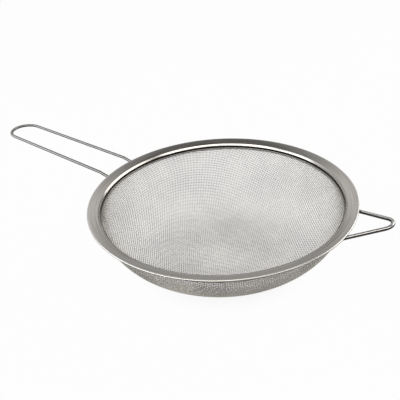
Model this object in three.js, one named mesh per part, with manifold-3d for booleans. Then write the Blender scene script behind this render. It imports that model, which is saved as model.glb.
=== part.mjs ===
// Mesh strainer: a bowl of wire cloth in a pressed sheet rim, with a bent wire handle and a bent wire rest hook.
// Millimetres, +Z up. The origin is the centre of the bowl's flat bottom, on the surface that it stands on.
// The handle lies along -X, and the rest hook is on the other side of the bowl.
import * as THREE from "three";
import { mergeVertices } from "three/addons/utils/BufferGeometryUtils.js";
import Module from "manifold-3d";

const wasm = await Module();
wasm.setup();

// Clearance between pieces that touch
const FIT = 0.3;

// Rim: pressed sheet with a rolled lip, a flange that slopes down inwards and an upright collar
const RIM_RADIUS = 110;
const RIM_HEIGHT = 56;
const RIM_SHEET = 0.5;
const LIP_DIAMETER = 1.4;
const LIP_CURL_DEG = 218;
const FLANGE_WIDTH = 8.1;
const FLANGE_SLOPE_DEG = 18;
const CORNER_RADIUS = 2.7;
const COLLAR_DEPTH = 7.5;

// Clamp ring: a strip inside the collar, which holds the edge of the cloth
const CLAMP_SHEET = 0.6;
const CLAMP_HEIGHT = 2.3;

// Wire cloth: two layers of crossing wires, with a pressed hem round the edge
const CLOTH_PITCH = 5.9;
const CLOTH_WIRE = 1.5;
const CLOTH_LAYER = 0.35;
const CLOTH_LAYER_GAP = 0.7;
const CLOTH_TURN_DEG = 34.1;
const HEM_COVER = 0.1;
const HEM_HEIGHT = 1.6;
const FLAT_RADIUS = 28;

// Handle: one wire, bent to a loop. Its legs leave the rim along the slope of the flange, bend to a lower slope
// and draw together
const HANDLE_WIRE = 2.8;
const HANDLE_LENGTH = 144.1;
const HANDLE_WIDTH = 36.9;
const HANDLE_END_WIDTH = 32.8;
const HANDLE_RISE_DEG = 7.7;
const HANDLE_BEND_REACH = 10.9;
const HANDLE_BEND_RADIUS = 14;

// Rest hook: one wire, bent to a V with a round tip, and set a little off the line of the handle
const HOOK_WIRE = 2.8;
const HOOK_REACH = 25.6;
const HOOK_BASE = 39;
const HOOK_RISE_DEG = 15.7;
const HOOK_TIP_RADIUS = 7.5;
const HOOK_TURN_DEG = 1.8;

// Welds: one under the flange at each end of the two bent wires
const WELD_LENGTH = 3.6;
const WELD_WIDTH = 3.6;
const WELD_SETBACK = 1.8;

// Fineness of the facets
const ROUND_SEGMENTS = 60;
const ARC_SEGMENTS = 2;
const CROSSINGS_PER_STEP = 3;
const WIRE_SIDES = 8;
const HANDLE_STEP = 4.5;
const HOOK_STEP = 2;
const WELD_MERIDIANS = 10;
const WELD_PARALLELS = 6;

const slope = THREE.MathUtils.degToRad(FLANGE_SLOPE_DEG);
const collarInside = RIM_RADIUS - FLANGE_WIDTH;
const collarBottom = RIM_HEIGHT - COLLAR_DEPTH;
const lipRadius = LIP_DIAMETER / 2;
const lipCentre = new THREE.Vector2(RIM_RADIUS - lipRadius, RIM_HEIGHT - lipRadius);
const clothHalf = CLOTH_LAYER + CLOTH_LAYER_GAP / 2;
const hemOutside = collarInside - FIT;
const hemInside = hemOutside - 2 * (clothHalf + HEM_COVER);
const clampOutside = hemInside - FIT;

function solidOf(geometry) {
  const bare = geometry.clone();
  bare.deleteAttribute("normal");
  bare.deleteAttribute("uv");
  const merged = mergeVertices(bare, 1e-4);
  return new wasm.Manifold(
    new wasm.Mesh({
      numProp: 3,
      vertProperties: merged.attributes.position.array,
      triVerts: new Uint32Array(merged.index.array),
    }),
  );
}

function geometryOf(solid) {
  const { vertProperties, triVerts } = solid.getMesh();
  const geometry = new THREE.BufferGeometry();
  geometry.setAttribute("position", new THREE.BufferAttribute(vertProperties, 3));
  geometry.setIndex(new THREE.BufferAttribute(triVerts, 1));
  geometry.computeVertexNormals();
  return geometry;
}

// A ring turned from a closed outline of (radius, height) points
function turned(outline) {
  const ring = new THREE.LatheGeometry([...outline, outline[0]], ROUND_SEGMENTS);
  return ring.rotateX(Math.PI / 2);
}

// The outline of a bent sheet, from the line along its middle
function sheetOutline(middle, thickness) {
  const side = (offset) =>
    middle.map((point, i) => {
      const before = middle[Math.max(i - 1, 0)];
      const after = middle[Math.min(i + 1, middle.length - 1)];
      const along = after.clone().sub(before).normalize();
      return new THREE.Vector2(point.x - along.y * offset, point.y + along.x * offset);
    });
  return [...side(-thickness / 2), ...side(thickness / 2).reverse()];
}

// The middle of the rim's sheet: round the lip, down the flange, round the corner and down the collar
function rimMiddle() {
  const turn = Math.PI / 2 + slope;
  const curl = THREE.MathUtils.degToRad(LIP_CURL_DEG);
  const lip = lipRadius - RIM_SHEET / 2;
  const wall = collarInside + RIM_SHEET / 2;
  const flangeTop = new THREE.Vector2(lip, 0).rotateAround(new THREE.Vector2(), turn).add(lipCentre);
  const cornerX = wall + CORNER_RADIUS;
  const bendX = cornerX + CORNER_RADIUS * Math.cos(turn);
  const bendY = flangeTop.y - (flangeTop.x - bendX) * Math.tan(slope);
  const cornerY = bendY - CORNER_RADIUS * Math.sin(turn);
  const path = new THREE.Path();
  path.absarc(lipCentre.x, lipCentre.y, lip, turn - curl, turn, false);
  path.absarc(cornerX, cornerY, CORNER_RADIUS, turn, Math.PI, false);
  path.lineTo(wall, collarBottom);
  return path.getPoints(ARC_SEGMENTS);
}

function rimGeometry(sheet) {
  return turned(sheetOutline(rimMiddle(), sheet));
}

// The clamp ring is a strip with a rounded upper edge
function clampGeometry() {
  const edge = CLAMP_SHEET / 2;
  const middle = clampOutside - edge;
  const top = collarBottom + CLAMP_HEIGHT - edge;
  const outline = new THREE.Path();
  outline.moveTo(middle + edge, collarBottom);
  outline.lineTo(middle + edge, top);
  outline.absarc(middle, top, edge, 0, Math.PI, false);
  outline.lineTo(middle - edge, collarBottom);
  return turned(outline.getPoints(ARC_SEGMENTS));
}

// The cloth's section: a flat bottom, a quarter of an ellipse, and a short upright run into the hem
const clothRadius = (hemInside + hemOutside) / 2;
const clothProfile = new THREE.Path();
clothProfile.moveTo(0, clothHalf);
clothProfile.lineTo(FLAT_RADIUS, clothHalf);
clothProfile.absellipse(
  FLAT_RADIUS,
  collarBottom,
  clothRadius - FLAT_RADIUS,
  collarBottom - clothHalf,
  -Math.PI / 2,
  0,
  false,
  0,
);
clothProfile.lineTo(clothRadius, collarBottom + HEM_HEIGHT / 2);
const clothReach = clothProfile.getLength();

// A point of the flat blank, pressed into the bowl: its distance from the centre becomes a length up the section
function onCloth(u, v, lift) {
  const share = Math.min(Math.hypot(u, v) / clothReach, 1);
  const at = clothProfile.getPointAt(share);
  const along = clothProfile.getTangentAt(share);
  const angle = Math.atan2(v, u) + THREE.MathUtils.degToRad(CLOTH_TURN_DEG);
  const radius = at.x + lift * along.y;
  return new THREE.Vector3(radius * Math.cos(angle), radius * Math.sin(angle), at.y - lift * along.x);
}

// One wire of the cloth: a three-sided bar, whose flat side is on the outer face of its layer
function clothWire(place, across, layer) {
  const half = Math.sqrt(clothReach ** 2 - across ** 2);
  const step = CROSSINGS_PER_STEP * CLOTH_PITCH;
  const inner = Math.floor((half - CLOTH_PITCH) / step);
  const stations = [-half];
  for (let i = -inner; i <= inner; i++) stations.push(i * step);
  stations.push(half);
  const face = layer * clothHalf;
  const ridge = (layer * CLOTH_LAYER_GAP) / 2;
  const points = [];
  for (const along of stations) {
    points.push(place(across - CLOTH_WIRE / 2, along, face));
    points.push(place(across + CLOTH_WIRE / 2, along, face));
    points.push(place(across, along, ridge));
  }
  const last = points.length - 3;
  const faces = [0, 1, 2, last, last + 2, last + 1];
  for (let ring = 0; ring < last; ring += 3) {
    for (let side = 0; side < 3; side++) {
      const a = ring + side;
      const b = ring + ((side + 1) % 3);
      faces.push(a, b + 3, b, a, a + 3, b + 3);
    }
  }
  return new THREE.BufferGeometry().setFromPoints(points).setIndex(faces);
}

function clothGeometry() {
  const hem = turned([
    new THREE.Vector2(hemInside, collarBottom),
    new THREE.Vector2(hemOutside, collarBottom),
    new THREE.Vector2(hemOutside, collarBottom + HEM_HEIGHT),
    new THREE.Vector2(hemInside, collarBottom + HEM_HEIGHT),
  ]);
  let cloth = solidOf(hem);
  const count = Math.floor((clothReach - HEM_HEIGHT / 2 - CLOTH_WIRE) / CLOTH_PITCH);
  const warp = (across, along, lift) => onCloth(across, along, lift);
  const weft = (across, along, lift) => onCloth(along, across, lift);
  for (let i = -count; i <= count; i++) {
    cloth = cloth.add(solidOf(clothWire(warp, i * CLOTH_PITCH, 1)));
    cloth = cloth.add(solidOf(clothWire(weft, i * CLOTH_PITCH, -1)));
  }
  return geometryOf(cloth);
}

// A wire bent round its corners: straight runs, joined by arcs
function bentPath(corners) {
  const path = new THREE.CurvePath();
  let from = corners[0].at;
  for (let i = 1; i < corners.length - 1; i++) {
    const { at, radius } = corners[i];
    const into = at.clone().sub(corners[i - 1].at).normalize();
    const out = corners[i + 1].at.clone().sub(at).normalize();
    const turn = into.angleTo(out);
    const trim = radius * Math.tan(turn / 2);
    const pull = (4 / 3) * radius * Math.tan(turn / 4);
    const start = at.clone().addScaledVector(into, -trim);
    const end = at.clone().addScaledVector(out, trim);
    if (from.distanceTo(start) > FIT) path.add(new THREE.LineCurve3(from, start));
    path.add(
      new THREE.CubicBezierCurve3(
        start,
        start.clone().addScaledVector(into, pull),
        end.clone().addScaledVector(out, -pull),
        end,
      ),
    );
    from = end;
  }
  path.add(new THREE.LineCurve3(from, corners[corners.length - 1].at));
  return path;
}

function wireGeometry({ corners, diameter, step }) {
  const path = bentPath(corners);
  const round = new THREE.Shape().absarc(0, 0, diameter / 2, 0, 2 * Math.PI, false);
  const steps = Math.ceil(path.getLength() / step);
  return new THREE.ExtrudeGeometry(round, { steps, curveSegments: WIRE_SIDES / 2, extrudePath: path });
}

// Height of a wire's axis where the wire lies against the lip, along the flange
function underFlange(radius, diameter) {
  const below = (lipRadius + FIT + diameter / 2) / Math.cos(slope);
  return lipCentre.y - below - (lipCentre.x - radius) * Math.tan(slope);
}

const rootRadius = (diameter) => collarInside + RIM_SHEET + FIT + diameter / 2;
const neckRadius = RIM_RADIUS + LIP_DIAMETER;

// Each leg of the handle runs from its root under the flange to the bend, and then straight out to the loop
function handleCorners() {
  const side = (HANDLE_WIDTH - HANDLE_WIRE) / 2;
  const endSide = (HANDLE_END_WIDTH - HANDLE_WIRE) / 2;
  const inside = (sign, radius) => {
    const x = -Math.sqrt(radius ** 2 - side ** 2);
    return new THREE.Vector3(x, sign * side, underFlange(radius, HANDLE_WIRE));
  };
  const bend = inside(1, RIM_RADIUS + HANDLE_BEND_REACH);
  const endX = -RIM_RADIUS - HANDLE_LENGTH + HANDLE_WIRE / 2;
  const endZ = bend.z + (bend.x - endX) * Math.tan(THREE.MathUtils.degToRad(HANDLE_RISE_DEG));
  const end = new THREE.Vector3(endX, endSide, endZ);
  const loopTurn = end.clone().sub(bend).angleTo(new THREE.Vector3(0, -1, 0));
  const leg = (sign) => [
    { at: inside(sign, rootRadius(HANDLE_WIRE)) },
    { at: inside(sign, RIM_RADIUS + HANDLE_BEND_REACH), radius: HANDLE_BEND_RADIUS },
    { at: new THREE.Vector3(endX, sign * endSide, endZ), radius: endSide / Math.tan(loopTurn / 2) },
  ];
  return [...leg(1), ...leg(-1).reverse()];
}

// Seen from above, the hook's legs run straight from under the flange to the bend at the tip
function hookCorners() {
  const side = (HOOK_BASE - HOOK_WIRE) / 2;
  const foot = Math.sqrt(RIM_RADIUS ** 2 - side ** 2);
  const run = RIM_RADIUS + HOOK_REACH - HOOK_WIRE / 2 - HOOK_TIP_RADIUS - foot;
  const halfAngle = Math.atan2(side, run) - Math.asin(HOOK_TIP_RADIUS / Math.hypot(side, run));
  const meet = foot + side / Math.tan(halfAngle);
  const legAt = (sign, radius) => {
    const length = meet * Math.cos(halfAngle) - Math.sqrt(radius ** 2 - (meet * Math.sin(halfAngle)) ** 2);
    const x = meet - length * Math.cos(halfAngle);
    return new THREE.Vector3(x, sign * length * Math.sin(halfAngle), underFlange(radius, HOOK_WIRE));
  };
  const neck = legAt(1, neckRadius);
  const tipHeight = neck.z + (meet - neck.x) * Math.tan(THREE.MathUtils.degToRad(HOOK_RISE_DEG));
  const corners = [
    { at: legAt(1, rootRadius(HOOK_WIRE)) },
    { at: neck, radius: HOOK_TIP_RADIUS },
    { at: new THREE.Vector3(meet, 0, tipHeight), radius: HOOK_TIP_RADIUS },
    { at: legAt(-1, neckRadius), radius: HOOK_TIP_RADIUS },
    { at: legAt(-1, rootRadius(HOOK_WIRE)) },
  ];
  const upright = new THREE.Vector3(0, 0, 1);
  for (const { at } of corners) at.applyAxisAngle(upright, THREE.MathUtils.degToRad(HOOK_TURN_DEG));
  return corners;
}

function flangeUnderside(radius) {
  const above = (lipRadius - RIM_SHEET) / Math.cos(slope);
  return lipCentre.y + above - (lipCentre.x - radius) * Math.tan(slope);
}

// A weld fills the space between the end of a wire and the flange above it
function weldGeometry(wire, root, neck) {
  const at = root.clone().lerp(neck, WELD_SETBACK / root.distanceTo(neck));
  const wireTop = at.z + wire.diameter / 2;
  const sheetBottom = flangeUnderside(Math.hypot(at.x, at.y));
  const bead = new THREE.SphereGeometry(1 / 2, WELD_MERIDIANS, WELD_PARALLELS);
  bead.rotateX(Math.PI / 2);
  bead.scale(WELD_LENGTH, WELD_WIDTH, sheetBottom - at.z);
  bead.rotateY(-slope);
  bead.rotateZ(Math.atan2(at.y, at.x));
  bead.translate(at.x, at.y, (wireTop + sheetBottom) / 2);
  const wireRoom = solidOf(wireGeometry({ ...wire, diameter: wire.diameter + 2 * FIT }));
  const rimRoom = solidOf(rimGeometry(RIM_SHEET + 2 * FIT));
  return geometryOf(solidOf(bead).subtract(wireRoom).subtract(rimRoom));
}

function piece(name, geometry, color, roughness) {
  const steel = new THREE.MeshStandardMaterial({ color, roughness, metalness: 1 });
  const mesh = new THREE.Mesh(geometry, steel);
  mesh.name = name;
  return mesh;
}

const strainer = new THREE.Group();
strainer.add(piece("rim_flange", rimGeometry(RIM_SHEET), 0xb4b5b6, 0.3));
strainer.add(piece("clamp_ring", clampGeometry(), 0x9d9e9f, 0.4));
strainer.add(piece("wire_cloth", clothGeometry(), 0xc9c7c3, 0.45));

const handle = { corners: handleCorners(), diameter: HANDLE_WIRE, step: HANDLE_STEP };
const hook = { corners: hookCorners(), diameter: HOOK_WIRE, step: HOOK_STEP };
strainer.add(piece("handle", wireGeometry(handle), 0xa9aaab, 0.3));
strainer.add(piece("rest_hook", wireGeometry(hook), 0xa9aaab, 0.3));

for (const [name, wire] of Object.entries({ handle, hook })) {
  const corners = wire.corners.map(({ at }) => at);
  const left = weldGeometry(wire, corners.at(0), corners.at(1));
  const right = weldGeometry(wire, corners.at(-1), corners.at(-2));
  strainer.add(piece(`weld_${name}_left`, left, 0x8c8b89, 0.6));
  strainer.add(piece(`weld_${name}_right`, right, 0x8c8b89, 0.6));
}

export default strainer;
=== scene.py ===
import math

import bpy
import numpy as np
from mathutils import Matrix, Vector


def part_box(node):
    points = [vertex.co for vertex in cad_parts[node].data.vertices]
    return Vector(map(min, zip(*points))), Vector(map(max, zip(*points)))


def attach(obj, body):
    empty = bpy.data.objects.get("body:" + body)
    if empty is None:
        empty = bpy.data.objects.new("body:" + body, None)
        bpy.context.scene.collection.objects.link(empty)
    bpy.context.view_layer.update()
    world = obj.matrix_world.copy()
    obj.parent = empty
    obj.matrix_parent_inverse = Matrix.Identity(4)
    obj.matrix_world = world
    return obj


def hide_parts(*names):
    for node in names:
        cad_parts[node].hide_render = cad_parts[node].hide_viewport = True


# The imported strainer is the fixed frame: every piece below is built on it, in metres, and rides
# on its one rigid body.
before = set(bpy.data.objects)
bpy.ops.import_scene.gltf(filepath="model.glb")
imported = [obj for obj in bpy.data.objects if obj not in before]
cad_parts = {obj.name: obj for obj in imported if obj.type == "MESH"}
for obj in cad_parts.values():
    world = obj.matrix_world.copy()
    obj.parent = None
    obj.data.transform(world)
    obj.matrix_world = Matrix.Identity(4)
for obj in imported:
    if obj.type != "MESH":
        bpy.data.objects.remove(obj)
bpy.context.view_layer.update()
MM = 0.001

# Rim: one ring of stainless sheet, pressed to a flange that slopes down inwards, a narrow bead at
# its inner edge and an upright collar round the cloth. The outer edge is rolled under to a satin
# lip, and the polishing wheel has left fine lines that run round the flange. The faces that look
# down, the outside of the collar and the lower curl of the lip are painted dark, a painted shade.
# The collar's inner wall under the bead is painted near black, a painted shade in the groove, and
# the top of the lip is painted lighter, a painted highlight.
RIM_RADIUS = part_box("rim_flange")[1].y
RIM_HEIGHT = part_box("rim_flange")[1].z
RIM_SHEET = 0.5 * MM
LIP_RADIUS = 0.7 * MM
LIP_CURL = math.radians(218)
FLANGE_WIDTH = 8.1 * MM
FLANGE_SLOPE = math.radians(18)
BEAD_REACH = 1.8 * MM
BEAD_WIDTH = 1.5 * MM
BEAD_SLOPE = math.radians(52)
BEAD_BEND = 0.32 * MM
COLLAR_DEPTH = 8.4 * MM
SHARP_EDGE = math.radians(40)
LINE_WIDTH = 1.1 * MM
LINE_LENGTH = 45 * MM

# Each finish of the rim has a name, a colour, a shade, a range of roughness and a relief.
RIM_FINISHES = (
    ("polished_rim_steel", (0.67, 0.642, 0.605), (0.44, 0.42, 0.395), (0.16, 0.26), 0.004 * MM),
    # Painted shade: dark for the faces that look down or lie behind the flange or under the curl.
    ("rim_painted_shade_steel", (0.2, 0.195, 0.19), (0.13, 0.126, 0.122), (0.4, 0.55), 0.02 * MM),
    # Painted shade: near black for the collar's wall in the groove.
    ("groove_painted_shade_steel", (0.05, 0.048, 0.045), (0.02, 0.019, 0.018), (0.5, 0.65), 0.02 * MM),
    # Painted highlight: a lighter colour on the satin top of the lip.
    ("satin_lip_painted_highlight", (0.9, 0.875, 0.84), (0.72, 0.7, 0.67), (0.28, 0.4), 0.004 * MM),
)
POLISHED, RIM_PAINTED_SHADE, GROOVE_PAINTED_SHADE, SATIN_AND_HIGHLIGHT = range(4)

# A face takes its finish from how far it looks outwards, or for the last two, upwards. The groove
# wall, the faces behind the flange or under the curl and those that look down get painted shade.
GROOVE_WALL = -0.95
BEHIND_FLANGE = 0.3
UNDER_LIP = 0.2
UNDERSIDE = -0.2

collar_inside = RIM_RADIUS - FLANGE_WIDTH
lip_centre = np.array([RIM_RADIUS - LIP_RADIUS, RIM_HEIGHT - LIP_RADIUS])


def arc(centre, radius, start, end, steps):
    """Points of (radius, height) round part of a circle."""
    turn = np.linspace(start, end, steps + 1)
    return np.asarray(centre) + radius * np.stack([np.cos(turn), np.sin(turn)], axis=1)


def rounded(before, corner, after, radius, steps):
    """Points round a bend of a sheet or a wire, from one straight run to the next."""
    before, corner, after = (Vector(point) for point in (before, corner, after))
    into = (corner - before).normalized()
    out = (after - corner).normalized()
    turn = into.angle(out)
    begin = corner - into * radius * math.tan(turn / 2)
    inward = (out - into * into.dot(out)).normalized()
    parts = np.linspace(0, turn, steps + 1)
    return [begin + radius * (into * math.sin(part) + inward * (1 - math.cos(part))) for part in parts]


def rim_middle():
    """The middle of the sheet: round the lip, down the flange, round the bead and down the collar."""
    turn = math.pi / 2 + FLANGE_SLOPE
    lip = arc(lip_centre, LIP_RADIUS - RIM_SHEET / 2, turn - LIP_CURL, turn, steps=18)
    wall = collar_inside + RIM_SHEET / 2
    tip_x = wall - BEAD_REACH
    edge_x = tip_x + BEAD_WIDTH
    edge = (edge_x, lip[-1][1] - (lip[-1][0] - edge_x) * math.tan(FLANGE_SLOPE))
    tip = (tip_x, edge[1] - BEAD_WIDTH * math.tan(BEAD_SLOPE))
    neck = (wall, tip[1] - RIM_SHEET / 2)
    bottom = (wall, RIM_HEIGHT - COLLAR_DEPTH)
    return np.vstack(
        [
            lip,
            rounded(lip[-1], edge, tip, BEAD_BEND, steps=5),
            rounded(edge, tip, neck, BEAD_BEND, steps=7),
            rounded(tip, neck, bottom, BEAD_BEND, steps=5),
            [bottom],
        ]
    )


def sheet_outline(middle, thickness):
    """The closed outline of a bent sheet, from the line along its middle."""
    before = np.vstack([middle[:1], middle[:-1]])
    after = np.vstack([middle[1:], middle[-1:]])
    along = after - before
    along /= np.linalg.norm(along, axis=1, keepdims=True)
    left = np.stack([-along[:, 1], along[:, 0]], axis=1) * thickness / 2
    return np.vstack([middle - left, (middle + left)[::-1]])


def solid_piece(name, points, faces):
    """A new object in the scene, smooth apart from its sharp edges."""
    mesh = bpy.data.meshes.new(name)
    mesh.from_pydata(points, [], faces)
    mesh.validate()
    mesh.shade_smooth()
    mesh.set_sharp_from_angle(angle=SHARP_EDGE)
    piece = bpy.data.objects.new(name, mesh)
    bpy.context.scene.collection.objects.link(piece)
    return piece


def turned(name, outline, facets=288):
    """A ring turned from a closed outline of (radius, height) points."""
    turn = np.linspace(0, 2 * math.pi, facets, endpoint=False)
    radius, height = np.asarray(outline).T
    points = np.stack(
        [
            np.outer(np.cos(turn), radius),
            np.outer(np.sin(turn), radius),
            np.tile(height, (facets, 1)),
        ],
        axis=-1,
    ).reshape(-1, 3)
    count = len(radius)
    ring = np.arange(facets)[:, None] * count
    onward = np.roll(ring, -1, axis=0)
    side = np.arange(count)
    beside = np.roll(side, -1)
    quads = np.stack([ring + side, onward + side, onward + beside, ring + beside], axis=-1)
    return solid_piece(name, points, quads.reshape(-1, 4))


def lines_round_the_axis(nodes, links):
    """Coordinates in which a grain is drawn out into fine lines round the strainer's axis."""
    place = nodes.new("ShaderNodeTexCoord").outputs["Object"]
    split = nodes.new("ShaderNodeSeparateXYZ")
    links.new(place, split.inputs[0])
    level = nodes.new("ShaderNodeVectorMath")
    level.operation = "MULTIPLY"
    level.inputs[1].default_value = (1, 1, 0)
    links.new(place, level.inputs[0])
    radius = nodes.new("ShaderNodeVectorMath")
    radius.operation = "LENGTH"
    links.new(level.outputs[0], radius.inputs[0])
    across = nodes.new("ShaderNodeMath")
    across.operation = "ADD"
    links.new(radius.outputs["Value"], across.inputs[0])
    links.new(split.outputs["Z"], across.inputs[1])
    drawn = nodes.new("ShaderNodeCombineXYZ")
    links.new(across.outputs[0], drawn.inputs["X"])
    links.new(split.outputs["X"], drawn.inputs["Y"])
    links.new(split.outputs["Y"], drawn.inputs["Z"])
    fine = nodes.new("ShaderNodeVectorMath")
    fine.operation = "MULTIPLY"
    fine.inputs[1].default_value = (1 / LINE_WIDTH, 1 / LINE_LENGTH, 1 / LINE_LENGTH)
    links.new(drawn.outputs[0], fine.inputs[0])
    return fine.outputs[0]


def steel(name, colour, shade, roughness, relief, grain):
    """Stainless steel: the grain shades its colour, its roughness and, by relief, its surface."""
    material = bpy.data.materials.new(name)
    material.use_nodes = True
    nodes, links = material.node_tree.nodes, material.node_tree.links
    surface = nodes["Principled BSDF"]
    surface.inputs["Metallic"].default_value = 1
    noise = nodes.new("ShaderNodeTexNoise")
    noise.inputs["Scale"].default_value = 1
    noise.inputs["Detail"].default_value = 4
    noise.inputs["Roughness"].default_value = 0.6
    links.new(grain(nodes, links), noise.inputs["Vector"])
    tint = nodes.new("ShaderNodeValToRGB")
    tint.color_ramp.elements[0].position = 0.3
    tint.color_ramp.elements[0].color = (*shade, 1)
    tint.color_ramp.elements[1].position = 0.65
    tint.color_ramp.elements[1].color = (*colour, 1)
    links.new(noise.outputs["Fac"], tint.inputs["Fac"])
    links.new(tint.outputs["Color"], surface.inputs["Base Color"])
    polish = nodes.new("ShaderNodeMapRange")
    polish.inputs["From Min"].default_value = 0.3
    polish.inputs["From Max"].default_value = 0.7
    polish.inputs["To Min"].default_value = roughness[0]
    polish.inputs["To Max"].default_value = roughness[1]
    links.new(noise.outputs["Fac"], polish.inputs["Value"])
    links.new(polish.outputs["Result"], surface.inputs["Roughness"])
    bump = nodes.new("ShaderNodeBump")
    bump.inputs["Strength"].default_value = 0.5
    bump.inputs["Distance"].default_value = relief
    links.new(noise.outputs["Fac"], bump.inputs["Height"])
    links.new(bump.outputs["Normal"], surface.inputs["Normal"])
    return material


rim = turned("rim", sheet_outline(rim_middle(), RIM_SHEET))
for finish, colour, shade, roughness, relief in RIM_FINISHES:
    rim.data.materials.append(steel(finish, colour, shade, roughness, relief, lines_round_the_axis))
for face in rim.data.polygons:
    radius = math.hypot(face.center.x, face.center.y)
    outward = Vector((face.center.x, face.center.y, 0)).normalized()
    looks_out = face.normal.dot(outward)
    looks_up = face.normal.z
    behind_flange = radius < lip_centre[0] and looks_out > BEHIND_FLANGE
    under_curl = radius > lip_centre[0] and looks_up < UNDER_LIP
    # Painted shade on the groove wall, behind the flange, under the curl and underneath; a painted
    # highlight on the top of the lip.
    if looks_out < GROOVE_WALL:
        face.material_index = GROOVE_PAINTED_SHADE
    elif behind_flange or under_curl or looks_up < UNDERSIDE:
        face.material_index = RIM_PAINTED_SHADE
    elif radius > lip_centre[0] - LIP_RADIUS / 2:
        face.material_index = SATIN_AND_HIGHLIGHT
    else:
        face.material_index = POLISHED
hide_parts("rim_flange")
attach(rim, "root")

# Clamp ring: a narrow strip of duller steel, pressed up inside the collar so that it grips the
# edge of the cloth. Its two edges are rounded, and a groove is left between it and the bead, where
# the collar's wall is painted near black, a painted shade.
CLAMP_SHEET = 0.6 * MM
CLAMP_LOWERED = 0.6 * MM
HEM_DEPTH = 7.5 * MM
CLAMP_STEEL = (0.5, 0.485, 0.465)
CLAMP_SHADE = (0.36, 0.35, 0.335)

clamp_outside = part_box("clamp_ring")[1].y
clamp_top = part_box("clamp_ring")[1].z - CLAMP_LOWERED
clamp_edge = CLAMP_SHEET / 2
clamp_middle = clamp_outside - clamp_edge
hem_bottom = RIM_HEIGHT - HEM_DEPTH
clamp_outline = np.vstack(
    [
        arc((clamp_middle, clamp_top - clamp_edge), clamp_edge, 0, math.pi, steps=10),
        arc((clamp_middle, hem_bottom + clamp_edge), clamp_edge, math.pi, 2 * math.pi, steps=10),
    ]
)
clamp = turned("clamp_strip", clamp_outline)
clamp.data.materials.append(
    steel("dull_strip_steel", CLAMP_STEEL, CLAMP_SHADE, (0.32, 0.5), 0.02 * MM, lines_round_the_axis)
)
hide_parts("clamp_ring")
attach(clamp, "root")

# Wire cloth: a plain weave of fine stainless wire, each wire going over one crossing wire and
# under the next. A round blank of it is pressed into a bowl with a flat bottom, and its edge
# is gripped between the collar and the clamp ring.
CLOTH_PITCH = 1.8 * MM
CLOTH_WIRE = 0.46 * MM
CLOTH_SIDES = 6
CLOTH_TURN = math.radians(34.1)
CLOTH_INSET = 1.1 * MM
CROSSING_GAP = 0.02 * MM
FLAT_RADIUS = 28 * MM
PRESS_STEPS = 1200
HEM_HEIGHT = 0.9 * MM
HEM_WIDTH = 1.6 * MM
HEM_GAP = 0.3 * MM
PATCH_SIZE = 35 * MM
CLOTH_STEEL = (0.66, 0.637, 0.597)
CLOTH_SHADE = (0.4, 0.385, 0.365)
HEM_STEEL = (0.75, 0.735, 0.71)
HEM_SHADE = (0.55, 0.54, 0.52)

crimp = (CLOTH_WIRE + CROSSING_GAP) / 2
cloth_low = crimp + CLOTH_WIRE / 2
cloth_radius = collar_inside - CLOTH_INSET
press = np.linspace(0, math.pi / 2, PRESS_STEPS)
section = np.vstack(
    [
        [(0, cloth_low)],
        np.stack(
            [
                FLAT_RADIUS + (cloth_radius - FLAT_RADIUS) * np.sin(press),
                hem_bottom - (hem_bottom - cloth_low) * np.cos(press),
            ],
            axis=1,
        ),
        [(cloth_radius, hem_bottom + HEM_HEIGHT)],
    ]
)
section_run = np.hypot(*np.diff(section, axis=0).T)
section_length = np.concatenate([[0], np.cumsum(section_run)])
section_slope = np.arctan2(*np.diff(section, axis=0).T[::-1])
cloth_reach = section_length[-1]


def on_cloth(u, v, lift):
    """Points of the flat blank pressed into the bowl, and the outward direction at each."""
    length = np.hypot(u, v)
    angle = np.arctan2(v, u) + CLOTH_TURN
    middle = (section_length[1:] + section_length[:-1]) / 2
    slope = np.interp(length, middle, section_slope)
    radius = np.interp(length, section_length, section[:, 0]) + lift * np.sin(slope)
    height = np.interp(length, section_length, section[:, 1]) - lift * np.cos(slope)
    points = np.stack([radius * np.cos(angle), radius * np.sin(angle), height], axis=1)
    outward = np.stack(
        [np.sin(slope) * np.cos(angle), np.sin(slope) * np.sin(angle), -np.cos(slope)], axis=1
    )
    return points, outward


def round_wire(path, upward, diameter, sides):
    """Points and faces of a closed round wire along a path; its sides start from upward."""
    along = np.gradient(path, axis=0)
    along /= np.linalg.norm(along, axis=1, keepdims=True)
    beside = np.cross(along, upward)
    beside /= np.linalg.norm(beside, axis=1, keepdims=True)
    above = np.cross(beside, along)
    turn = np.arange(sides) * 2 * math.pi / sides
    ring = np.cos(turn)[None, :, None] * above[:, None] + np.sin(turn)[None, :, None] * beside[:, None]
    points = (path[:, None] + ring * diameter / 2).reshape(-1, 3)
    start = np.arange(len(path) - 1)[:, None] * sides
    side = np.arange(sides)
    next_side = np.roll(side, -1)
    quads = np.stack(
        [start + side, start + next_side, start + next_side + sides, start + side + sides], axis=-1
    ).reshape(-1, 4)
    half = sides // 2
    strip = np.arange(half - 1)
    cap = np.stack([strip, strip + 1, sides - 2 - strip, sides - 1 - strip], axis=-1)
    last = (len(path) - 1) * sides
    return points, np.vstack([quads, cap[:, ::-1], last + cap])


def woven_wires(name, crosswise, places):
    """The wires of one half of the warp or of the weft, as one piece."""
    all_points = []
    all_faces = []
    count = 0
    for place in places:
        across = place * CLOTH_PITCH
        half = math.sqrt(cloth_reach**2 - across**2)
        steps = int(half / (CLOTH_PITCH / 2))
        along = np.arange(-steps, steps + 1) * CLOTH_PITCH / 2
        over = (-1) ** place * (-1 if crosswise else 1)
        lift = over * crimp * np.cos(math.pi * along / CLOTH_PITCH)
        fixed = np.full_like(along, across)
        u, v = (along, fixed) if crosswise else (fixed, along)
        path, outward = on_cloth(u, v, lift)
        points, faces = round_wire(path, outward, CLOTH_WIRE, CLOTH_SIDES)
        all_points.append(points)
        all_faces.append(faces + count)
        count += len(points)
    return solid_piece(name, np.vstack(all_points), np.vstack(all_faces))


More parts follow.
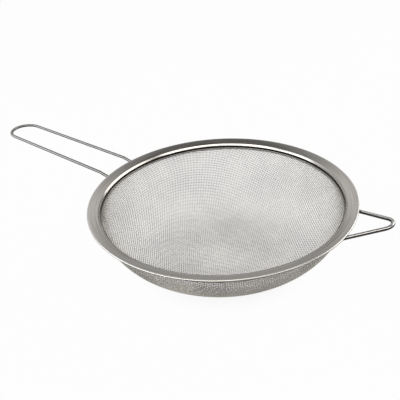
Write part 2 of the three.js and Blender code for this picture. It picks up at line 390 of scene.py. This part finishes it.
def patches(nodes, links):
    """Coordinates for broad, soft patches, as a pressed cloth shows."""
    place = nodes.new("ShaderNodeTexCoord").outputs["Object"]
    broad = nodes.new("ShaderNodeVectorMath")
    broad.operation = "SCALE"
    broad.inputs["Scale"].default_value = 1 / PATCH_SIZE
    links.new(place, broad.inputs[0])
    return broad.outputs[0]


woven_steel = steel("woven_steel", CLOTH_STEEL, CLOTH_SHADE, (0.42, 0.56), 0.001 * MM, patches)
outermost = int(cloth_reach / CLOTH_PITCH - 1)
for crosswise, family in ((False, "warp"), (True, "weft")):
    for half, places in (("a", range(-outermost, 0)), ("b", range(0, outermost + 1))):
        cloth = woven_wires(f"cloth_{family}_{half}", crosswise, places)
        cloth.data.materials.append(woven_steel)
        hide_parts("wire_cloth")
        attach(cloth, "root")

hem_outside = collar_inside - HEM_GAP
hem_inside = hem_outside - HEM_WIDTH
hem_top = hem_bottom + HEM_HEIGHT
hem_outline = [
    (hem_inside, hem_bottom),
    (hem_outside, hem_bottom),
    (hem_outside, hem_top),
    (hem_inside, hem_top),
]
hem = turned("cloth_hem", hem_outline)
hem.data.materials.append(
    steel("pressed_hem_steel", HEM_STEEL, HEM_SHADE, (0.4, 0.6), 0.1 * MM, patches)
)
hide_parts("wire_cloth")
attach(hem, "root")

# Handle: one drawn stainless wire, bent round to a long loop, whose faces that look down are painted
# dark, a painted shade. Its two legs are welded under the flange, leave the rim along the flange's
# slope, and bend to a lower slope outside.
WIRE = 2.8 * MM
FIT = 0.3 * MM
WIRE_SIDES = 28
HANDLE_LENGTH = 144.1 * MM
HANDLE_SIDE = (36.9 * MM - WIRE) / 2
HANDLE_END_SIDE = (32.8 * MM - WIRE) / 2
HANDLE_RISE = math.radians(7.7)
HANDLE_BEND_REACH = 10.9 * MM
HANDLE_BEND = 14 * MM
HANDLE_SHADE_BELOW = 0.3
PATH_STEP = 2.5 * MM
LEAST_BEND_STEPS = 8
DIE_MARK_LENGTH = 150 * MM
DIE_MARKS_ACROSS = 6
WIRE_STEEL = (0.38, 0.375, 0.365)
WIRE_SHADE = (0.26, 0.255, 0.245)
# The underside colours are painted shade, for the faces of a wire that look down.
WIRE_PAINTED_SHADE = (0.15, 0.145, 0.14)
WIRE_PAINTED_SHADE_DEEP = (0.09, 0.088, 0.085)

root_radius = collar_inside + RIM_SHEET + FIT + WIRE / 2


def under_flange(radius):
    """Height of a wire's axis where the wire lies against the lip, along the flange."""
    below = (LIP_RADIUS + FIT + WIRE / 2) / math.cos(FLANGE_SLOPE)
    return lip_centre[1] - below - (lip_centre[0] - radius) * math.tan(FLANGE_SLOPE)


def straight_run(start, end):
    """Even points along a wire from one place up to, but not with, the next."""
    count = max(round((end - start).length / PATH_STEP), 1)
    return [start.lerp(end, i / count) for i in range(count)]


def bent_path(corners, bends):
    """Points along a wire that is straight between its corners and bent round each to a radius."""
    corners = [Vector(corner) for corner in corners]
    stops = []
    start = corners[0]
    for before, corner, after, bend in zip(corners, corners[1:], corners[2:], bends):
        turn = (corner - before).angle(after - corner)
        steps = max(round(bend * turn / PATH_STEP), LEAST_BEND_STEPS)
        curve = rounded(before, corner, after, bend, steps)
        stops += straight_run(start, curve[0])
        stops += curve[:-1]
        start = curve[-1]
    stops += straight_run(start, corners[-1])
    stops.append(corners[-1])
    return np.array(stops)


def bent_wire(name, corners, bends, top_steel, painted_shade_steel, shade_below):
    """A round wire on a bent path. Its lay runs along the wire, for the marks of the drawing die."""
    path = bent_path(corners, bends)
    points, faces = round_wire(path, np.array([(0.0, 0.0, 1.0)] * len(path)), WIRE, WIRE_SIDES)
    piece = solid_piece(name, points, faces)
    run = np.concatenate([[0], np.cumsum(np.linalg.norm(np.diff(path, axis=0), axis=1))])
    turn = np.arange(WIRE_SIDES) * 2 * math.pi / WIRE_SIDES
    lay = np.stack(
        [
            np.repeat(run, WIRE_SIDES) / DIE_MARK_LENGTH,
            np.tile(np.cos(turn), len(path)) * DIE_MARKS_ACROSS,
            np.tile(np.sin(turn), len(path)) * DIE_MARKS_ACROSS,
        ],
        axis=1,
    )
    attribute = piece.data.attributes.new("lay", "FLOAT_VECTOR", "POINT")
    attribute.data.foreach_set("vector", lay.astype(np.float32).ravel())
    piece.data.materials.append(top_steel)
    piece.data.materials.append(painted_shade_steel)
    # Faces that look down past the threshold take the second steel, a painted shade.
    for face in piece.data.polygons:
        face.material_index = 1 if face.normal.z < shade_below else 0
    return piece


def lines_along_the_wire(nodes, links):
    """Coordinates in which a grain is drawn out into fine lines along a wire."""
    lay = nodes.new("ShaderNodeAttribute")
    lay.attribute_name = "lay"
    return lay.outputs["Vector"]


def handle_leg(side, radius):
    """Where a leg of the handle crosses a radius, along the slope of the flange."""
    return (-math.sqrt(radius**2 - side**2), side, under_flange(radius))


bend_radius = RIM_RADIUS + HANDLE_BEND_REACH
leg_bend = handle_leg(HANDLE_SIDE, bend_radius)
end_x = -RIM_RADIUS - HANDLE_LENGTH + WIRE / 2
end_z = leg_bend[2] + (leg_bend[0] - end_x) * math.tan(HANDLE_RISE)
loop_corner = Vector((end_x, HANDLE_END_SIDE, end_z))
loop_turn = (loop_corner - Vector(leg_bend)).angle(Vector((0, -1, 0)))
loop_bend = HANDLE_END_SIDE / math.tan(loop_turn / 2)
handle_top_steel = steel(
    "handle_top_wire_steel", WIRE_STEEL, WIRE_SHADE, (0.28, 0.42), 0.01 * MM, lines_along_the_wire
)
handle_underside_painted_shade = steel(
    "wire_underside_painted_shade", WIRE_PAINTED_SHADE, WIRE_PAINTED_SHADE_DEEP, (0.35, 0.5), 0.01 * MM, lines_along_the_wire
)
handle = bent_wire(
    "handle_wire",
    [
        handle_leg(HANDLE_SIDE, root_radius),
        leg_bend,
        loop_corner,
        (end_x, -HANDLE_END_SIDE, end_z),
        handle_leg(-HANDLE_SIDE, bend_radius),
        handle_leg(-HANDLE_SIDE, root_radius),
    ],
    [HANDLE_BEND, loop_bend, loop_bend, HANDLE_BEND],
    handle_top_steel,
    handle_underside_painted_shade,
    HANDLE_SHADE_BELOW,
)
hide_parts("handle")
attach(handle, "root")

# Rest hook: a short piece of the same wire, bent to a V with a round tip and welded under the flange.
# It juts out opposite the handle, a little off its line, so that the strainer can rest across a pot.
HOOK_REACH = 25.6 * MM
HOOK_SIDE = (39 * MM - WIRE) / 2
HOOK_RISE = math.radians(15.7)
HOOK_TIP = 7.5 * MM
HOOK_TURN = math.radians(1.8)
HOOK_SHADE_BELOW = 0.6
# Painted light: the hook's top is lighter than the handle's same wire, its underside a painted shade.
BRIGHT_STEEL = (0.6, 0.59, 0.575)
BRIGHT_SHADE = (0.45, 0.44, 0.43)
DARK_STEEL = (0.09, 0.088, 0.085)
DARK_SHADE = (0.05, 0.049, 0.047)

hook_foot = math.sqrt(RIM_RADIUS**2 - HOOK_SIDE**2)
hook_run = RIM_RADIUS + HOOK_REACH - WIRE / 2 - HOOK_TIP - hook_foot
hook_angle = math.atan2(HOOK_SIDE, hook_run) - math.asin(HOOK_TIP / math.hypot(HOOK_SIDE, hook_run))
hook_meet = hook_foot + HOOK_SIDE / math.tan(hook_angle)
neck_radius = RIM_RADIUS + 2 * LIP_RADIUS


def on_hook_leg(sign, radius):
    """Where a leg of the hook crosses a radius, along the slope of the flange."""
    inner = math.sqrt(radius**2 - (hook_meet * math.sin(hook_angle)) ** 2)
    length = hook_meet * math.cos(hook_angle) - inner
    x = hook_meet - length * math.cos(hook_angle)
    return Vector((x, sign * length * math.sin(hook_angle), under_flange(radius)))


hook_neck = on_hook_leg(1, neck_radius)
hook_tip = Vector((hook_meet, 0, hook_neck.z + (hook_meet - hook_neck.x) * math.tan(HOOK_RISE)))
hook_corners = [
    on_hook_leg(1, root_radius),
    hook_neck,
    hook_tip,
    on_hook_leg(-1, neck_radius),
    on_hook_leg(-1, root_radius),
]
off_line = Matrix.Rotation(HOOK_TURN, 3, "Z")
hook_corners = [off_line @ corner for corner in hook_corners]
hook_top_painted_light = steel(
    "hook_top_painted_light", BRIGHT_STEEL, BRIGHT_SHADE, (0.2, 0.34), 0.01 * MM, lines_along_the_wire
)
hook_underside_painted_shade = steel(
    "hook_underside_painted_shade", DARK_STEEL, DARK_SHADE, (0.35, 0.5), 0.01 * MM, lines_along_the_wire
)
hook = bent_wire(
    "rest_hook_wire",
    hook_corners,
    [HOOK_TIP, HOOK_TIP, HOOK_TIP],
    hook_top_painted_light,
    hook_underside_painted_shade,
    HOOK_SHADE_BELOW,
)
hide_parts("rest_hook")
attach(hook, "root")

# Welds: a small bead of fused steel at each end of the two bent wires, made by pressing the hot
# wire against the underside of the flange. The heat has left it dull, with a straw tint.
WELD_LENGTH = 3.6 * MM
WELD_WIDTH = 3.6 * MM
WELD_SETBACK = 1.8 * MM
WELD_ABOVE_AXIS = WIRE / 4
WELD_MERIDIANS = 24
WELD_RINGS = 11
THREE_LUMPS = 0.05
FIVE_LUMPS = 0.03
SCALE_MARK = 1.2 * MM
WELD_STEEL = (0.42, 0.40, 0.36)
WELD_SHADE = (0.24, 0.21, 0.17)


def scale_marks(nodes, links):
    """Coordinates for the small blotches of scale that heat leaves."""
    place = nodes.new("ShaderNodeTexCoord").outputs["Object"]
    small = nodes.new("ShaderNodeVectorMath")
    small.operation = "SCALE"
    small.inputs["Scale"].default_value = 1 / SCALE_MARK
    links.new(place, small.inputs[0])
    return small.outputs[0]


def weld_bead(name, root, neck):
    """An uneven bead between the end of a wire and the sheet above it."""
    root = Vector(root)
    neck = Vector(neck)
    at = root.lerp(neck, WELD_SETBACK / (neck - root).length)
    rise = (LIP_RADIUS - RIM_SHEET) / math.cos(FLANGE_SLOPE)
    fall = (lip_centre[0] - math.hypot(at.x, at.y)) * math.tan(FLANGE_SLOPE)
    under_sheet = lip_centre[1] + rise - fall
    weld_height = under_sheet - at.z - WELD_ABOVE_AXIS
    latitude = np.linspace(-math.pi / 2, math.pi / 2, WELD_RINGS + 2)[1:-1]
    turn = np.arange(WELD_MERIDIANS) * 2 * math.pi / WELD_MERIDIANS
    swell = 1 + THREE_LUMPS * np.cos(3 * turn + at.y / MM) + FIVE_LUMPS * np.cos(5 * turn)
    shape = np.stack(
        [
            np.outer(np.cos(latitude), np.cos(turn) * swell) * WELD_LENGTH / 2,
            np.outer(np.cos(latitude), np.sin(turn) * swell) * WELD_WIDTH / 2,
            np.outer(np.sin(latitude), np.ones(WELD_MERIDIANS)) * weld_height / 2,
        ],
        axis=-1,
    ).reshape(-1, 3)
    poles = np.array([(0, 0, -1), (0, 0, 1)]) * weld_height / 2
    lean = Matrix.Rotation(-FLANGE_SLOPE, 3, "Y")
    heading = Matrix.Rotation(math.atan2(at.y, at.x), 3, "Z")
    middle = (at.x, at.y, under_sheet - weld_height / 2)
    points = np.vstack([shape, poles]) @ np.array(heading @ lean).T + np.array(middle)
    start = np.arange(WELD_RINGS - 1)[:, None] * WELD_MERIDIANS
    above = start + WELD_MERIDIANS
    side = np.arange(WELD_MERIDIANS)
    beside = np.roll(side, -1)
    quads = np.stack([start + side, start + beside, above + beside, above + side], axis=-1)
    last = (WELD_RINGS - 1) * WELD_MERIDIANS
    bottom = last + WELD_MERIDIANS
    top = bottom + 1
    lower = [(bottom, b, a) for a, b in zip(side, beside)]
    upper = [(top, last + a, last + b) for a, b in zip(side, beside)]
    return solid_piece(name, points, [*map(tuple, quads.reshape(-1, 4)), *lower, *upper])


fused_steel = steel("fused_weld_steel", WELD_STEEL, WELD_SHADE, (0.4, 0.65), 0.06 * MM, scale_marks)
weld_places = {
    "handle_left": (handle_leg(HANDLE_SIDE, root_radius), leg_bend),
    "handle_right": (handle_leg(-HANDLE_SIDE, root_radius), handle_leg(-HANDLE_SIDE, bend_radius)),
    "hook_left": (hook_corners[0], hook_corners[1]),
    "hook_right": (hook_corners[-1], hook_corners[-2]),
}
for place, (root, neck_end) in weld_places.items():
    weld = weld_bead(f"bead_{place}", root, neck_end)
    weld.data.materials.append(fused_steel)
    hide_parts(f"weld_{place}")
    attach(weld, "root")

# Floor: a wide sheet of plain pale board, which the strainer stands on. It is white to the eye and
# paler in the metal than it is lit. Under the bowl its glow fades, so it is darker there: partly its
# real shadow, partly a painted shadow.
FLOOR_HALF = 4
FLOOR_PALE = (0.6, 0.6, 0.6)
SHADOW_FULL = 0.3 * RIM_RADIUS
SHADOW_END = 0.8 * RIM_RADIUS
GLOW_UNDER_BOWL = 0.7
GLOW_TO_THE_EYE = 0.97
GLOW_IN_METAL = 0.25

floor_mesh = bpy.data.meshes.new("floor")
floor_mesh.from_pydata(
    [(x * FLOOR_HALF, y * FLOOR_HALF, 0) for x, y in ((-1, -1), (1, -1), (1, 1), (-1, 1))],
    [],
    [(0, 1, 2, 3)],
)
floor = bpy.data.objects.new("floor", floor_mesh)
bpy.context.scene.collection.objects.link(floor)
pale_board = bpy.data.materials.new("pale_board")
pale_board.use_nodes = True
nodes, links = pale_board.node_tree.nodes, pale_board.node_tree.links
nodes.clear()
board = nodes.new("ShaderNodeBsdfDiffuse")
board.inputs["Color"].default_value = (*FLOOR_PALE, 1)
glow = nodes.new("ShaderNodeEmission")
glow.inputs["Color"].default_value = (1, 1, 1, 1)
glow.inputs["Strength"].default_value = 1
from_middle = nodes.new("ShaderNodeVectorMath")
from_middle.operation = "LENGTH"
links.new(nodes.new("ShaderNodeTexCoord").outputs["Object"], from_middle.inputs[0])
to_eye = nodes.new("ShaderNodeMapRange")
to_eye.interpolation_type = "SMOOTHSTEP"
to_eye.inputs["From Min"].default_value = SHADOW_FULL
to_eye.inputs["From Max"].default_value = SHADOW_END
to_eye.inputs["To Min"].default_value = GLOW_UNDER_BOWL
to_eye.inputs["To Max"].default_value = GLOW_TO_THE_EYE
links.new(from_middle.outputs["Value"], to_eye.inputs["Value"])
seen = nodes.new("ShaderNodeLightPath")
by_eye = nodes.new("ShaderNodeMath")
by_eye.operation = "MAXIMUM"
links.new(seen.outputs["Is Camera Ray"], by_eye.inputs[0])
links.new(seen.outputs["Is Transmission Ray"], by_eye.inputs[1])
eye_share = nodes.new("ShaderNodeMath")
eye_share.operation = "MULTIPLY"
links.new(by_eye.outputs[0], eye_share.inputs[0])
links.new(to_eye.outputs["Result"], eye_share.inputs[1])
metal_share = nodes.new("ShaderNodeMath")
metal_share.operation = "MULTIPLY"
metal_share.inputs[1].default_value = GLOW_IN_METAL
links.new(seen.outputs["Is Glossy Ray"], metal_share.inputs[0])
share = nodes.new("ShaderNodeMath")
share.operation = "MAXIMUM"
links.new(eye_share.outputs[0], share.inputs[0])
links.new(metal_share.outputs[0], share.inputs[1])
blend = nodes.new("ShaderNodeMixShader")
links.new(share.outputs[0], blend.inputs["Fac"])
links.new(board.outputs[0], blend.inputs[1])
links.new(glow.outputs[0], blend.inputs[2])
out = nodes.new("ShaderNodeOutputMaterial")
links.new(blend.outputs[0], out.inputs["Surface"])
floor_mesh.materials.append(pale_board)

# Studio: a pale room, darkest at the ceiling and lighter on the left and far sides. A wide soft lamp
# hangs above the camera, and one more stands on each side of the strainer, the right one behind it.
ROOM_HEIGHTS = ((0, 0.42), (0.28, 0.28), (0.5, 0.68), (0.58, 0.6), (0.8, 0.14), (1, 0.1))
ROOM_LEFT = 0.6
ROOM_FAR = 0.3
VIEW_AZIMUTH = math.radians(33.72)
LAMP_DISTANCE = 3

# Each lamp has a name, its degrees to the right of the camera and above the floor, its width and
# height, its power and its colour.
LAMPS = (
    ("soft_lamp_front", 0, 61, (5.4, 1.5), 66, (1, 0.97, 0.93)),
    ("soft_lamp_left", -82, 24, (2.6, 1.8), 29, (0.92, 0.96, 1)),
    ("soft_lamp_right", 110, 28, (3.0, 1.8), 34, (1, 0.97, 0.93)),
)

world = bpy.data.worlds.new("studio_room")
world.use_nodes = True
bpy.context.scene.world = world
nodes, links = world.node_tree.nodes, world.node_tree.links
way = nodes.new("ShaderNodeTexCoord")
split = nodes.new("ShaderNodeSeparateXYZ")
links.new(way.outputs["Generated"], split.inputs[0])
fade = nodes.new("ShaderNodeValToRGB")
while len(fade.color_ramp.elements) < len(ROOM_HEIGHTS):
    fade.color_ramp.elements.new(0.5)
for stop, (height, grey) in zip(fade.color_ramp.elements, ROOM_HEIGHTS):
    stop.position = height
    stop.color = (grey, grey, grey, 1)
links.new(split.outputs["Z"], fade.inputs["Fac"])
lighter = nodes.new("ShaderNodeVectorMath")
lighter.operation = "DOT_PRODUCT"
lighter.inputs[1].default_value = (
    -ROOM_LEFT * math.cos(VIEW_AZIMUTH) - ROOM_FAR * math.sin(VIEW_AZIMUTH),
    -ROOM_LEFT * math.sin(VIEW_AZIMUTH) + ROOM_FAR * math.cos(VIEW_AZIMUTH),
    0,
)
links.new(way.outputs["Generated"], lighter.inputs[0])
side_share = nodes.new("ShaderNodeMath")
side_share.operation = "ADD"
side_share.inputs[1].default_value = 1
links.new(lighter.outputs["Value"], side_share.inputs[0])
both = nodes.new("ShaderNodeMath")
both.operation = "MULTIPLY"
links.new(fade.outputs["Color"], both.inputs[0])
links.new(side_share.outputs[0], both.inputs[1])
links.new(both.outputs[0], nodes["Background"].inputs["Strength"])
nodes["Background"].inputs["Color"].default_value = (1, 1, 1, 1)


def soft_lamp(name, place, size, power, colour):
    """A rectangular lamp that faces the strainer."""
    lamp = bpy.data.lights.new(name, "AREA")
    lamp.color = colour
    lamp.shape = "RECTANGLE"
    lamp.size, lamp.size_y = size
    lamp.energy = power
    hung = bpy.data.objects.new(name, lamp)
    hung.location = place
    hung.rotation_mode = "QUATERNION"
    hung.rotation_quaternion = Vector(place).to_track_quat("Z", "Y")
    bpy.context.scene.collection.objects.link(hung)


def lamp_place(sideways, elevation):
    """The place of a lamp at an angle to the right of the camera, seen from the strainer."""
    azimuth = VIEW_AZIMUTH + math.radians(sideways)
    rise = math.radians(elevation)
    level = LAMP_DISTANCE * math.cos(rise)
    return (level * math.sin(azimuth), -level * math.cos(azimuth), LAMP_DISTANCE * math.sin(rise))


for name, sideways, elevation, size, power, colour in LAMPS:
    soft_lamp(name, lamp_place(sideways, elevation), size, power, colour)

# Camera: on the hook's side of the bowl, looking down at it, with a slight roll.
# Its distance and aim are in rim radii from the middle of the rim.
VIEW_ELEVATION = math.radians(31.2253)
VIEW_ROLL = math.radians(-4.5913)
VIEW_DISTANCE = 3.2399
VIEW_ACROSS = 0.1531
VIEW_UP = 0.0687
FOCAL_PIXELS = 426.73
IMAGE_PIXELS = 400
SENSOR_WIDTH = 36
NEAREST_SEEN = 10 * MM

level = math.cos(VIEW_ELEVATION)
back = Vector(
    (math.sin(VIEW_AZIMUTH) * level, -math.cos(VIEW_AZIMUTH) * level, math.sin(VIEW_ELEVATION))
)
right = Vector((math.cos(VIEW_AZIMUTH), math.sin(VIEW_AZIMUTH), 0))
upright = back.cross(right)
camera_x = math.cos(VIEW_ROLL) * right + math.sin(VIEW_ROLL) * upright
camera_y = -math.sin(VIEW_ROLL) * right + math.cos(VIEW_ROLL) * upright
lens = bpy.data.cameras.new("camera")
lens.sensor_width = SENSOR_WIDTH
lens.lens = SENSOR_WIDTH * FOCAL_PIXELS / IMAGE_PIXELS
lens.clip_start = NEAREST_SEEN
camera = bpy.data.objects.new("camera", lens)
bpy.context.scene.collection.objects.link(camera)
aim = back * VIEW_DISTANCE - camera_x * VIEW_ACROSS - camera_y * VIEW_UP
stand = Matrix((camera_x, camera_y, back)).transposed().to_4x4()
stand.translation = aim * RIM_RADIUS + Vector((0, 0, RIM_HEIGHT))
camera.matrix_world = stand
bpy.context.scene.camera = camera
bpy.context.scene.view_settings.view_transform = "Standard"
